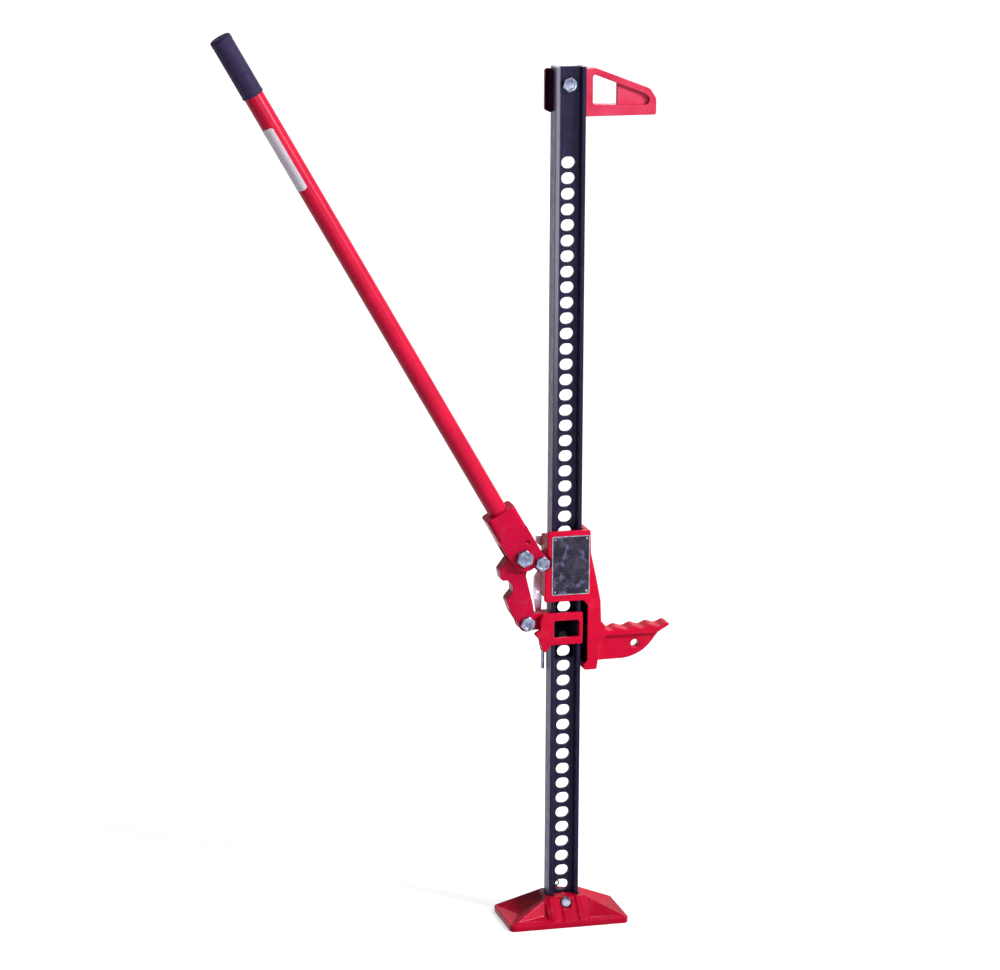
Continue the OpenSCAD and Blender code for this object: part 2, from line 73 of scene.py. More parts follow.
LEAN = math.radians(30)  # the handle's lean from the vertical
CRANK = Vector((-0.064, 0, 0.547))  # the upper pitman bolt
UP_HANDLE = Vector((-math.sin(LEAN), 0, math.cos(LEAN)))
SIDE_HANDLE = Vector((math.cos(LEAN), 0, math.sin(LEAN)))
# On the enamels, edges past EDGE_AT are also painted lighter: a painted highlight.
EDGE_AT = (0.53, 0.62)  # the pointiness where a worn edge starts, and where it is full


# ---- materials ----
class Paint:
    """A node material under construction. Coordinates are the piece's own, in metres."""

    def __init__(self, name):
        self.material = bpy.data.materials.new(name)
        self.material.use_nodes = True
        self.tree = self.material.node_tree
        self.shader = self.tree.nodes["Principled BSDF"]
        self.place = self.node("ShaderNodeTexCoord").outputs["Object"]

    def node(self, kind, **settings):
        made = self.tree.nodes.new(kind)
        for key, value in settings.items():
            setattr(made, key, value)
        return made

    def link(self, value, socket):
        if isinstance(value, bpy.types.NodeSocket):
            self.tree.links.new(value, socket)
        elif isinstance(value, tuple) and len(value) == 3 and socket.type == "RGBA":
            socket.default_value = (*value, 1)
        else:
            socket.default_value = value

    def set(self, **values):
        for key, value in values.items():
            self.link(value, self.shader.inputs[key.replace("_", " ")])

    def math(self, operation, a, b):
        made = self.node("ShaderNodeMath", operation=operation)
        for socket, value in zip(made.inputs, (a, b)):
            self.link(value, socket)
        return made.outputs[0]

    def mix(self, share, a, b):
        made = self.node("ShaderNodeMix", data_type="RGBA")
        self.link(share, made.inputs[0])
        self.link(a, made.inputs[6])
        self.link(b, made.inputs[7])
        return made.outputs[2]

    def step(self, value, low, high, out_low=0.0, out_high=1.0):
        made = self.node("ShaderNodeMapRange", interpolation_type="SMOOTHSTEP")
        for socket, number in zip(made.inputs, (value, low, high, out_low, out_high)):
            self.link(number, socket)
        return made.outputs[0]

    def stretch(self, scale, turn=0.0):
        made = self.node("ShaderNodeMapping")
        self.link(self.place, made.inputs["Vector"])
        made.inputs["Rotation"].default_value = (0, turn, 0)
        made.inputs["Scale"].default_value = scale
        return made.outputs[0]

    def noise(self, scale, detail=3.0, rough=0.55, at=None):
        made = self.node("ShaderNodeTexNoise")
        self.link(at or self.place, made.inputs["Vector"])
        made.inputs["Scale"].default_value = scale
        made.inputs["Detail"].default_value = detail
        made.inputs["Roughness"].default_value = rough
        return made.outputs[0]

    def cells(self, scale):
        made = self.node("ShaderNodeTexVoronoi", feature="F1")
        self.link(self.place, made.inputs["Vector"])
        made.inputs["Scale"].default_value = scale
        return made.outputs["Distance"]

    def within(self, box, soft=0.0006):
        """1 inside the box, given as two corners in metres, and 0 outside it."""
        parts = self.node("ShaderNodeSeparateXYZ")
        self.link(self.place, parts.inputs[0])
        share = 1.0
        for axis in range(3):
            low, high = box[0][axis], box[1][axis]
            share = self.math("MULTIPLY", share, self.step(parts.outputs[axis], low - soft, low + soft))
            share = self.math("MULTIPLY", share, self.step(parts.outputs[axis], high + soft, high - soft))
        return share

    def height(self):
        parts = self.node("ShaderNodeSeparateXYZ")
        self.link(self.place, parts.inputs[0])
        return parts.outputs["Z"]

    def pointiness(self):
        """0.5 on flat faces, more on edges, less in hollows."""
        return self.node("ShaderNodeNewGeometry").outputs["Pointiness"]

    def bump(self, height, depth, under=None):
        made = self.node("ShaderNodeBump")
        made.inputs["Distance"].default_value = depth
        self.link(height, made.inputs["Height"])
        if under is not None:
            self.link(under, made.inputs["Normal"])
        return made.outputs[0]


def enamel(name, bright, deep, edge_at=EDGE_AT, painted_shade_box=None, painted_shade_colour=(0.004, 0.002, 0.005), shade=None):
    """Enamel over a casting: grain, orange peel, thin edges painted lighter as a painted highlight, hollows
    darkened as painted shade, chips, dust.

    greased is a box whose faces are painted near black in the colour grease, as painted shade. shade is
    painted shade in a valley: its centre and its reach, in metres.
    """
    p = Paint(name)
    cloud = p.step(p.noise(14, 4), 0.3, 0.7)
    edge = p.step(p.pointiness(), *edge_at)
    hollow = p.step(p.pointiness(), 0.5, 0.44)
    colour = p.mix(cloud, bright, deep)
    # Painted shade: hollows are darkened towards a deep red.
    colour = p.mix(p.math("MULTIPLY", hollow, 0.55), colour, tuple(c * 0.35 for c in deep))
    # Painted highlight: edges are painted a lighter copy of the red. Below, the same edges also chip to bare
    # iron, which is wear.
    colour = p.mix(p.math("MULTIPLY", edge, 0.45), colour, tuple(min(1, c * 1.25 + 0.05) for c in bright))
    bare = p.math("MULTIPLY", p.step(p.noise(260, 4, 0.7), 0.66, 0.71), edge)
    fleck = p.step(p.noise(520, 2, 0.6), 0.76, 0.79)
    gone = p.math("MAXIMUM", bare, p.math("MULTIPLY", fleck, 0.17))
    colour = p.mix(gone, colour, IRON)
    dust = p.math("MULTIPLY", p.step(p.noise(45, 5, 0.7), 0.52, 0.75), 0.05)
    colour = p.mix(dust, colour, (0.45, 0.36, 0.36))
    # Painted shade: a mottled dark red patch that fades out from the centre given in shade.
    if shade:
        centre, reach = shade
        away = p.node("ShaderNodeVectorMath", operation="DISTANCE")
        p.link(p.place, away.inputs[0])
        p.link(centre, away.inputs[1])
        near = p.step(away.outputs["Value"], reach, reach * 0.35)
        patch = p.math("MULTIPLY", near, p.step(p.noise(60, 4), 0.2, 0.6, 0.6, 0.85))
        colour = p.mix(patch, colour, (0.085, 0.001, 0.008))
    # Painted shade: faces in the greased box are painted near black and lose their coat and specular,
    # standing for the shadow there. clean is 1 outside that box.
    inside = 0.0
    if painted_shade_box:
        inside = p.math("MULTIPLY", p.within(painted_shade_box), p.step(p.noise(90, 4, 0.6), 0.12, 0.2, 0.9, 1.0))
        colour = p.mix(inside, colour, p.mix(cloud, painted_shade_colour, tuple(c * 2.0 for c in painted_shade_colour)))
    clean = p.math("SUBTRACT", 1.0, inside)
    roughness = p.step(p.noise(60, 4), 0.25, 0.75, 0.28, 0.43)
    roughness = p.math("ADD", roughness, p.math("MULTIPLY", gone, 0.2))
    peel = p.bump(p.noise(420, 2, 0.5), 0.00016)
    cast = p.bump(p.noise(1500, 3, 0.6), 0.00011, peel)
    wave = p.bump(p.noise(55, 2, 0.5), 0.0007, cast)
    p.set(Base_Color=colour, Roughness=roughness, Normal=wave,
          Coat_Weight=p.math("MULTIPLY", clean, 0.06), Coat_Roughness=0.14,
          Specular_IOR_Level=p.math("MULTIPLY", clean, 0.15), Specular_Tint=(1.0, 0.34, 0.52))
    return p.material


def gloss_tube():
    """Glossy enamel over the drawn tube, scuffed along its length."""
    p = Paint("gloss_enamel")
    along = p.stretch((1, 1, 0.03), LEAN)
    cloud = p.step(p.noise(22, 3), 0.3, 0.7)
    colour = p.mix(cloud, (0.70, 0.002, 0.042), (0.58, 0.0015, 0.036))
    scuff = p.step(p.noise(420, 3, 0.6, along), 0.66, 0.74)
    rub = p.math("MULTIPLY", scuff, p.step(p.noise(9, 2), 0.45, 0.7))
    colour = p.mix(p.math("MULTIPLY", rub, 0.35), colour, (0.72, 0.12, 0.14))
    roughness = p.step(p.noise(70, 4), 0.3, 0.7, 0.30, 0.40)
    roughness = p.math("ADD", roughness, p.math("MULTIPLY", rub, 0.2))
    peel = p.bump(p.noise(330, 2, 0.5), 0.00012)
    fine = p.bump(p.noise(500, 2, 0.5, along), 0.00005, peel)
    p.set(Base_Color=colour, Roughness=roughness, Normal=fine, Coat_Weight=0.09, Coat_Roughness=0.22,
          Specular_IOR_Level=0.24, Specular_Tint=(1.0, 0.50, 0.64))
    return p.material


def rack_enamel():
    """Dark enamel, with a painted reflection on the flank, painted light on the handle's flange that grows
    towards the top, and painted shade inside the runners.
    """
    p = Paint("dark_enamel")
    along = p.stretch((1, 1, 0.04))
    cloud = p.step(p.noise(20, 4), 0.3, 0.7)
    colour = p.mix(cloud, (0.004, 0.003, 0.013), (0.009, 0.007, 0.026))
    edge = p.step(p.pointiness(), 0.58, 0.68)
    # Painted reflection: the left flank's side face is painted lilac.
    colour = p.mix(p.math("MULTIPLY", p.within(PAINTED_REFLECTION_FLANK, 0.0004), 0.8), colour, (0.150, 0.115, 0.260))
    # Painted light: the handle's flange is painted grey, more so towards the top.
    painted_light_share = p.math("MULTIPLY", p.within(PAINTED_LIGHT_FLANGE, 0.0015), p.step(p.height(), 0.60, 1.00, 0.0, 0.80))
    colour = p.mix(painted_light_share, colour, (0.265, 0.250, 0.320))
    streak = p.step(p.noise(300, 3, 0.6, along), 0.58, 0.70)
    rub = p.math("MULTIPLY", streak, p.step(p.noise(7, 3), 0.42, 0.62))
    colour = p.mix(p.math("MULTIPLY", rub, 0.16), colour, (0.08, 0.07, 0.12))
    chip = p.math("MULTIPLY", p.step(p.noise(380, 4, 0.7), 0.52, 0.60), edge)
    colour = p.mix(p.math("MULTIPLY", chip, 0.25), colour, (0.16, 0.14, 0.18))
    dust = p.math("MULTIPLY", p.step(p.noise(60, 5, 0.7), 0.5, 0.75), 0.05)
    colour = p.mix(dust, colour, (0.30, 0.27, 0.33))
    # Painted shade: near black around the runners, without coat, specular or sheen there.
    painted_shade_share = p.within(PAINTED_SHADE_RACK, 0.003)
    colour = p.mix(painted_shade_share, colour, p.mix(cloud, (0.002, 0.0018, 0.003), (0.004, 0.003, 0.006)))
    unshaded_share = p.math("SUBTRACT", 1.0, painted_shade_share)
    roughness = p.step(p.noise(80, 4), 0.25, 0.75, 0.30, 0.46)
    peel = p.bump(p.noise(360, 2, 0.5), 0.00016)
    scale = p.bump(p.noise(1100, 3, 0.6), 0.00010, peel)
    rolled = p.bump(p.noise(160, 2, 0.5, along), 0.00020, scale)
    p.set(Base_Color=colour, Roughness=roughness, Normal=rolled,
          Coat_Weight=p.math("MULTIPLY", unshaded_share, 0.03), Coat_Roughness=0.2,
          Specular_IOR_Level=p.math("MULTIPLY", unshaded_share, 0.24), Specular_Tint=(0.60, 0.50, 1.0),
          Sheen_Weight=p.math("MULTIPLY", unshaded_share, 0.26), Sheen_Roughness=0.32, Sheen_Tint=(0.50, 0.38, 1.0))
    return p.material


def zinc():
    """Dull blue zinc with bright worn edges and painted shade in its hollows."""
    p = Paint("zinc_plating")
    cloud = p.step(p.noise(120, 3), 0.3, 0.7)
    tint = p.mix(cloud, (0.085, 0.10, 0.17), (0.30, 0.33, 0.45))
    bloom = p.step(p.noise(260, 2), 0.5, 0.7)
    tint = p.mix(p.math("MULTIPLY", bloom, 0.35), tint, (0.20, 0.19, 0.32))
    hollow = p.step(p.pointiness(), 0.50, 0.43)
    # Painted shade: hollows are darkened.
    tint = p.mix(p.math("MULTIPLY", hollow, 0.8), tint, (0.04, 0.04, 0.07))
    edge = p.step(p.pointiness(), *EDGE_AT)
    tint = p.mix(p.math("MULTIPLY", edge, 0.6), tint, (0.62, 0.70, 0.80))
    roughness = p.step(p.noise(300, 4), 0.25, 0.75, 0.20, 0.36)
    fine = p.bump(p.noise(1800, 3, 0.6), 0.00006)
    dent = p.bump(p.noise(330, 2, 0.5), 0.00024, fine)
    p.set(Base_Color=tint, Metallic=0.85, Roughness=roughness, Normal=dent)
    return p.material


def passivated():
    """Matt lilac zinc of the stamped latch."""
    p = Paint("passivated_zinc")
    cloud = p.step(p.noise(70, 4), 0.3, 0.7)
    tint = p.mix(cloud, (0.92, 0.83, 0.97), (0.82, 0.73, 0.90))
    speck = p.step(p.noise(330, 4, 0.7), 0.60, 0.72)
    tint = p.mix(p.math("MULTIPLY", speck, 0.3), tint, (0.46, 0.38, 0.54))
    edge = p.step(p.pointiness(), *EDGE_AT)
    tint = p.mix(p.math("MULTIPLY", edge, 0.5), tint, (0.96, 0.92, 0.98))
    roughness = p.step(p.noise(120, 4), 0.3, 0.7, 0.24, 0.34)
    drawn = p.bump(p.noise(500, 2, 0.5, p.stretch((1, 1, 0.05))), 0.00006)
    p.set(Base_Color=tint, Metallic=0.85, Roughness=roughness, Normal=drawn)
    return p.material


def steel(name, light, dark, rough, turned):
    """Oily bare steel. rough is its mean roughness, turned the density of its lathe marks along Y."""
    p = Paint(name)
    cloud = p.step(p.noise(90, 4), 0.3, 0.7)
    tint = p.mix(cloud, light, dark)
    oil = p.step(p.noise(40, 3, 0.6), 0.5, 0.72)
    tint = p.mix(p.math("MULTIPLY", oil, 0.5), tint, tuple(c * 0.45 for c in dark))
    edge = p.step(p.pointiness(), *EDGE_AT)
    tint = p.mix(p.math("MULTIPLY", edge, 0.6), tint, tuple(min(1, c * 2.2) for c in light))
    roughness = p.step(p.noise(200, 4), 0.25, 0.75, rough - 0.06, rough + 0.10)
    roughness = p.math("SUBTRACT", roughness, p.math("MULTIPLY", oil, 0.08))
    lathe_marks = p.bump(p.noise(1, 2, 0.5, p.stretch((60, turned, 60))), 0.00005)
    pits = p.bump(p.noise(1300, 3, 0.6), 0.00006, lathe_marks)
    p.set(Base_Color=tint, Metallic=0.9, Roughness=roughness, Normal=pits)
    return p.material


def plate_field():
    """The plate's dark blotchy field, slightly buckled."""
    p = Paint("plate_metal")
    cloud = p.step(p.noise(48, 5, 0.62), 0.42, 0.66)
    tint = p.mix(cloud, (0.012, 0.009, 0.020), (0.040, 0.034, 0.060))
    blotch = p.step(p.noise(75, 3, 0.6), 0.54, 0.70)
    tint = p.mix(p.math("MULTIPLY", blotch, 0.6), tint, (0.13, 0.13, 0.25))
    speck = p.step(p.noise(420, 3, 0.7), 0.62, 0.70)
    tint = p.mix(p.math("MULTIPLY", speck, 0.25), tint, (0.20, 0.20, 0.26))
    roughness = p.step(p.noise(60, 4), 0.3, 0.7, 0.26, 0.44)
    brushed = p.bump(p.noise(900, 3, 0.6, p.stretch((0.05, 1, 1))), 0.00004)
    buckle = p.bump(p.noise(38, 2, 0.4), 0.0006, brushed)
    p.set(Base_Color=tint, Metallic=0.75, Roughness=roughness, Normal=buckle)
    return p.material


def plate_rim():
    """The plate's bare rim and its rivets."""
    p = Paint("plate_rim")
    tint = p.mix(p.step(p.noise(120, 4), 0.35, 0.65), (0.36, 0.40, 0.46), (0.20, 0.21, 0.27))
    roughness = p.step(p.noise(200, 3), 0.3, 0.7, 0.28, 0.42)
    grain = p.bump(p.noise(900, 3, 0.6), 0.00006)
    p.set(Base_Color=tint, Metallic=0.9, Roughness=roughness, Normal=grain)
    return p.material


def rubber():
    """Dark violet rubber with a pebbled skin."""
    p = Paint("grip_rubber")
    cloud = p.step(p.noise(60, 4), 0.3, 0.7)
    tint = p.mix(cloud, (0.020, 0.011, 0.052), (0.032, 0.018, 0.072))
    patch = p.step(p.noise(180, 5, 0.7), 0.55, 0.75)
    tint = p.mix(p.math("MULTIPLY", patch, 0.35), tint, (0.10, 0.085, 0.12))
    roughness = p.step(p.noise(150, 4), 0.3, 0.7, 0.58, 0.74)
    pebble = p.bump(p.cells(1400), 0.00010)
    soft = p.bump(p.noise(200, 3, 0.5), 0.00020, pebble)
    p.set(Base_Color=tint, Roughness=roughness, Normal=soft, Specular_IOR_Level=0.22,
          Sheen_Weight=0.08, Sheen_Roughness=0.4)
    return p.material


def film():
    """Pale lilac film, smeared along the handle."""
    p = Paint("label_film")
    cloud = p.step(p.noise(50, 4), 0.35, 0.65)
    tint = p.mix(cloud, (0.92, 0.82, 0.92), (0.82, 0.72, 0.83))
    smear = p.step(p.noise(30, 5, 0.7, p.stretch((1, 1, 0.25), LEAN)), 0.55, 0.72)
    tint = p.mix(p.math("MULTIPLY", smear, 0.35), tint, (0.80, 0.64, 0.73))
    roughness = p.step(p.noise(80, 3), 0.3, 0.7, 0.30, 0.46)
    crease = p.bump(p.noise(90, 3, 0.6), 0.00018)
    grain = p.bump(p.noise(1600, 2, 0.5), 0.00003, crease)
    p.set(Base_Color=tint, Roughness=roughness, Normal=grain, Coat_Weight=0.25, Coat_Roughness=0.2)
    return p.material


def floor_paper():
    """White paper that glows more with distance, and that throws little light back on the object."""
    p = Paint("pale_floor")
    tint = p.mix(p.step(p.noise(3, 3), 0.3, 0.7), (0.80, 0.80, 0.81), (0.82, 0.82, 0.825))
    far = p.node("ShaderNodeVectorMath", operation="LENGTH")
    p.link(p.place, far.inputs[0])
    glow = p.step(far.outputs["Value"], 0.4, 5.0, 0.55, 0.96)
    grain = p.bump(p.noise(300, 2), 0.0001)
    p.set(Base_Color=tint, Roughness=0.85, Normal=grain, Specular_IOR_Level=0.1,
          Emission_Color=(1, 1, 1), Emission_Strength=glow)
    dim = p.node("ShaderNodeBsdfDiffuse")
    dim.inputs["Color"].default_value = (0.30, 0.30, 0.31, 1)
    both = p.node("ShaderNodeMixShader")
    p.link(p.node("ShaderNodeLightPath").outputs["Is Diffuse Ray"], both.inputs[0])
    p.link(p.shader.outputs[0], both.inputs[1])
    p.link(dim.outputs[0], both.inputs[2])
    p.link(both.outputs[0], p.tree.nodes["Material Output"].inputs["Surface"])
    return p.material


# Regions that are painted differently, each as two corners in metres. PAINTED_REFLECTION_FLANK gets a painted
# reflection, PAINTED_LIGHT_FLANGE painted light, and the other boxes painted shade.
PAINTED_SHADE_RACK = ((-0.0150, -0.0200, 0.392), (0.0150, 0.0140, 0.492))
PAINTED_REFLECTION_FLANK = ((-0.0235, -0.0200, 0.0), (-0.0218, 0.0200, 1.25))
PAINTED_LIGHT_FLANGE = ((-0.0240, -0.0300, 0.0), (-0.0125, -0.0020, 1.25))
BEHIND_THE_GAP = ((0.0, -0.0205, 0.386), (0.0308, 0.0215, 0.482))
BEHIND_THE_WINDOW = ((-0.0232, 0.0138, 0.4055), (0.0232, 0.0213, 0.4485))
UNDER_THE_LIP = ((-0.0312, -0.0200, 1.170), (-0.0224, 0.0146, 1.240))
# Painted shade: the base's left valley is painted dark red around this centre.
PAINTED_SHADE_VALLEY = ((-0.042, 0.010, 0.032), 0.048)  # centre and reach of the shaded valley in the base

CRIMSON = (0.74, 0.0015, 0.038)
DEEP_CRIMSON = (0.60, 0.001, 0.032)
IRON = (0.16, 0.13, 0.14)
BASE_RED = enamel("base_enamel", (0.58, 0.001, 0.029), (0.46, 0.001, 0.024), shade=PAINTED_SHADE_VALLEY)
HANDLE_RED = enamel("handle_enamel", (0.62, 0.001, 0.042), (0.50, 0.001, 0.036))
# Both runners get painted shade, near black, inside their greased boxes.
RUNNER_RED = enamel("runner_enamel", CRIMSON, DEEP_CRIMSON, painted_shade_box=BEHIND_THE_GAP)
SMALL_RED = enamel("small_runner_enamel", CRIMSON, DEEP_CRIMSON, painted_shade_box=BEHIND_THE_WINDOW)
# Painted light: the clamp's enamel is a paler, pinker copy of the crimson, and its lighter edges spread
# wider, standing for the strong light on the clamp. Under its lip it gets painted shade.
CLAMP_RED = enamel("clamp_enamel", (0.74, 0.075, 0.140), (0.56, 0.018, 0.058), edge_at=(0.53, 0.60),
                   painted_shade_box=UNDER_THE_LIP, painted_shade_colour=(0.016, 0.004, 0.010))
TUBE = gloss_tube()
RACK = rack_enamel()
ZINC = zinc()
PASSIVATED = passivated()
DARK_STEEL = steel("dark_steel", (0.15, 0.15, 0.16), (0.08, 0.08, 0.09), 0.34, 900)
OILED_STEEL = steel("oiled_steel", (0.030, 0.028, 0.034), (0.014, 0.013, 0.018), 0.40, 900)
SPRING_STEEL = steel("spring_steel", (0.34, 0.34, 0.36), (0.20, 0.20, 0.22), 0.30, 300)
FIELD = plate_field()
RIM = plate_rim()
RUBBER = rubber()
FILM = film()


# ---- meshes ----
def place(piece, node, material):
    """piece stands for the node and moves with it."""
    piece.data.materials.append(material)
    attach(piece, NODES[node]["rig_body"])
    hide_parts(node)


def new_piece(name, verts, faces, smooth=35):
    mesh = bpy.data.meshes.new(name)
    mesh.from_pydata([tuple(v) for v in verts], [], faces)
    return shown(mesh, name, smooth)


def shown(mesh, name, smooth=35):
    """An object for the mesh, with one closed skin, outward faces and smooth shading up to that angle."""
    bm = bmesh.new()
    bm.from_mesh(mesh)
    bmesh.ops.remove_doubles(bm, verts=bm.verts, dist=2e-6)
    bmesh.ops.recalc_face_normals(bm, faces=bm.faces)
    limit = math.radians(smooth)
    for edge in bm.edges:
        edge.smooth = len(edge.link_faces) == 2 and edge.calc_face_angle(0) < limit
    for face in bm.faces:
        face.smooth = True
    bm.to_mesh(mesh)
    bm.free()
    piece = bpy.data.objects.new(name, mesh)
    SCENE.collection.objects.link(piece)
    return piece


def node_mesh(node, name, dissolve=None):
    """A clean copy of a CAD node's mesh: merged, and with flat faces joined where dissolve is given."""
    bm = bmesh.new()
    bm.from_mesh(NODES[node].data)
    bmesh.ops.remove_doubles(bm, verts=bm.verts, dist=2e-6)
    if dissolve:
        bmesh.ops.dissolve_limit(bm, angle_limit=math.radians(dissolve), verts=bm.verts, edges=bm.edges)
    mesh = bpy.data.meshes.new(name)
    bm.to_mesh(mesh)
    bm.free()
    return mesh


def baked(piece, flatness):
    """The piece with its modifiers applied, shaded smooth but with its flat faces kept flat."""
    graph = bpy.context.evaluated_depsgraph_get()
    mesh = bpy.data.meshes.new_from_object(piece.evaluated_get(graph))
    piece.modifiers.clear()
    piece.data = mesh
    for face in mesh.polygons:
        face.use_smooth = True
    piece.modifiers.new("flat_faces", "WEIGHTED_NORMAL").weight = flatness
    return piece


def casting(node, voxel, rounds, share):
    """The node's shape as a sand casting: every edge and inner corner rounded."""
    piece = shown(node_mesh(node, node + "_casting"), node + "_casting", 180)
    skin = piece.modifiers.new("skin", "REMESH")
    skin.mode = "VOXEL"
    skin.voxel_size = voxel * MM
    soften = piece.modifiers.new("soften", "SMOOTH")
    soften.factor = 0.5
    soften.iterations = rounds
    lean = piece.modifiers.new("lean", "DECIMATE")
    lean.ratio = share
    return baked(piece, 80)


def crisp(node, width, angle=40):
    """The node's shape with a small round on every sharp edge."""
    piece = shown(node_mesh(node, node + "_part", 0.3), node + "_part")
    round_off = piece.modifiers.new("round_off", "BEVEL")
    round_off.width = width * MM
    round_off.segments = 2
    round_off.limit_method = "ANGLE"
    round_off.angle_limit = math.radians(angle)
    round_off.use_clamp_overlap = True
    return baked(piece, 60)


def axes(origin, axis, side):
    """A matrix whose Z runs along axis from origin, and whose X is side."""
    z = Vector(axis).normalized()
    x = Vector(side).normalized()
    y = z.cross(x)
    m = Matrix((x, y, z)).transposed().to_4x4()
    m.translation = Vector(origin)
    return m


def skin_rings(name, rings, at, closed=False, smooth=35):
    """Joins rings of points into one skin. Without closed, the first and last ring are filled."""
    count = len(rings[0])
    verts = [at @ Vector(p) for one in rings for p in one]
    faces = []
    last = len(rings) if closed else len(rings) - 1
    for i in range(last):
        j = (i + 1) % len(rings)
        for k in range(count):
            n = (k + 1) % count
            faces.append((i * count + k, i * count + n, j * count + n, j * count + k))
    if not closed:
        faces.append(tuple(reversed(range(count))))
        faces.append(tuple((len(rings) - 1) * count + k for k in range(count)))
    return new_piece(name, verts, faces, smooth)


def around(radius, a, height):
    """The point at that radius, angle and height. Lengths go in as mm and come out in metres."""
    return (radius * math.cos(a) * MM, radius * math.sin(a) * MM, height * MM)


def ring(radius, height, count=64):
    """One ring of points. radius and height are in mm, each a number or a function of the angle."""
    points = []
    for k in range(count):
        a = 2 * math.pi * k / count
        r = radius(a) if callable(radius) else radius
        h = height(a) if callable(height) else height
        points.append(around(r, a, h))
    return points


def lathe(name, profile, at, closed=False, smooth=35, count=64):
    """Turns a profile of (radius, height) pairs, in mm, around the Z of the matrix at."""
    return skin_rings(name, [ring(r, h, count) for r, h in profile], at, closed, smooth)


def hex_side(across, shrink=0.0):
    """The distance to a hexagon's side at each angle, with slightly rounded corners."""
    half = across / 2 - shrink

    def radius(a):
        off = (a % (math.pi / 3)) - math.pi / 6
        return min(half / math.cos(off), half * 1.135)

    return radius


def hex_crown(across, height, slope=-0.5):
    """Where the chamfer of a hexagon's end meets its sides. slope is negative for the far end."""
    side = hex_side(across)
    flat = across / 2 * 0.95
    return lambda a: height + slope * max(0.0, side(a) - flat)


def thread_radius(r, pitch, depth, h):
    """The radius of a thread at height h, at each angle."""

    def radius(a):
        phase = (h / pitch - a / (2 * math.pi)) % 1.0
        return r - depth * (1 - abs(2 * phase - 1)) ** 0.8

    return radius


def hex_bolt(node, head, across, r, threaded, pitch=1.5):
    """A forged hexagon-head bolt: dished crown, shank, rolled thread with a pointed end."""
    low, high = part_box(node)
    x, z = (low.x + high.x) / 2, (low.z + high.z) / 2
    length = (high.y - low.y) / MM
    at = axes((x, low.y, z), (0, 1, 0), (math.cos(0.35), 0, math.sin(0.35)))
    half = across / 2
    dish = [ring(half * 0.30, 0.75), ring(half * 0.62, 0.62), ring(half * 0.70, 0.12), ring(half * 0.76, 0.0)]
    crown = [ring(half * 0.95, 0.0), ring(hex_side(across, 0.1), hex_crown(across, 0.15, 0.5)),
             ring(hex_side(across), hex_crown(across, 0.45, 0.5))]
    seat = [ring(hex_side(across), head - 0.9), ring(hex_side(across, 0.25), head - 0.55),
            ring(half * 0.94, head - 0.5), ring(half * 0.92, head)]
    start = length - threaded
    shank = [ring(r + 0.5, head), ring(r, head + 0.4), ring(r, start - 0.4)]
    rings = dish + crown + seat + shank
    steps = int(threaded / pitch * 8)
    for i in range(steps + 1):
        h = start + (threaded - 0.9) * i / steps
        fade = min(1.0, i / 8, (steps - i) / 6 + 0.25)
        rings.append(ring(thread_radius(r - 0.02, pitch, 0.75 * fade, h), h))
    rings += [ring(r - 1.0, length), ring(r - 2.2, length)]
    piece = skin_rings(node + "_forged", rings, at, smooth=28)
    place(piece, node, ZINC)


def hex_nut(node, across, r):
    """A nut: chamfered both ends, countersunk bore."""
    low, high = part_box(node)
    x, z = (low.x + high.x) / 2, (low.z + high.z) / 2
    length = (high.y - low.y) / MM
    at = axes((x, low.y, z), (0, 1, 0), (math.cos(0.8), 0, math.sin(0.8)))
    half = across / 2
    bore, sink = r + 0.05, 0.8
    near = [ring(bore, sink), ring(bore + sink, 0.0), ring(half * 0.95, 0.0),
            ring(hex_side(across, 0.1), hex_crown(across, 0.1, 0.5)),
            ring(hex_side(across), hex_crown(across, 0.35, 0.5))]
    far = [ring(hex_side(across), hex_crown(across, length - 0.35)),
           ring(hex_side(across, 0.1), hex_crown(across, length - 0.1)),
           ring(half * 0.95, length), ring(bore + sink, length), ring(bore, length - sink)]
    piece = skin_rings(node + "_forged", near + far, at, closed=True, smooth=28)
    place(piece, node, ZINC)


def wire(name, path, radius, sides=12):
    """A round wire along the points, in metres, with thinner ends."""
    path = [Vector(p) for p in path]
    turns = [2 * math.pi * k / sides for k in range(sides)]
    rings = []
    side = None
    for i, point in enumerate(path):
        along = (path[min(i + 1, len(path) - 1)] - path[max(i - 1, 0)]).normalized()
        if side is None:
            side = along.orthogonal().normalized()
        side = (side - along * side.dot(along)).normalized()
        other = along.cross(side)
        thin = 0.55 if i in (0, len(path) - 1) else 1.0
        rings.append([point + (side * math.cos(a) + other * math.sin(a)) * radius * thin for a in turns])
    return skin_rings(name, rings, Matrix.Identity(4), smooth=60)


# ---- castings ----
def build_castings():
    """Each casting's node, voxel in mm, smoothing rounds, share of triangles kept, and paint."""
    for node, voxel, rounds, share, paint in (
            ("base_plate", 0.9, 7, 0.35, BASE_RED), ("large_runner", 0.9, 6, 0.35, RUNNER_RED),
            ("small_runner", 0.8, 6, 0.4, SMALL_RED), ("top_clamp", 0.8, 6, 0.4, CLAMP_RED),
            ("handle_socket", 0.8, 6, 0.4, HANDLE_RED), ("pitman", 0.8, 6, 0.4, HANDLE_RED)):
        place(casting(node, voxel, rounds, share), node, paint)


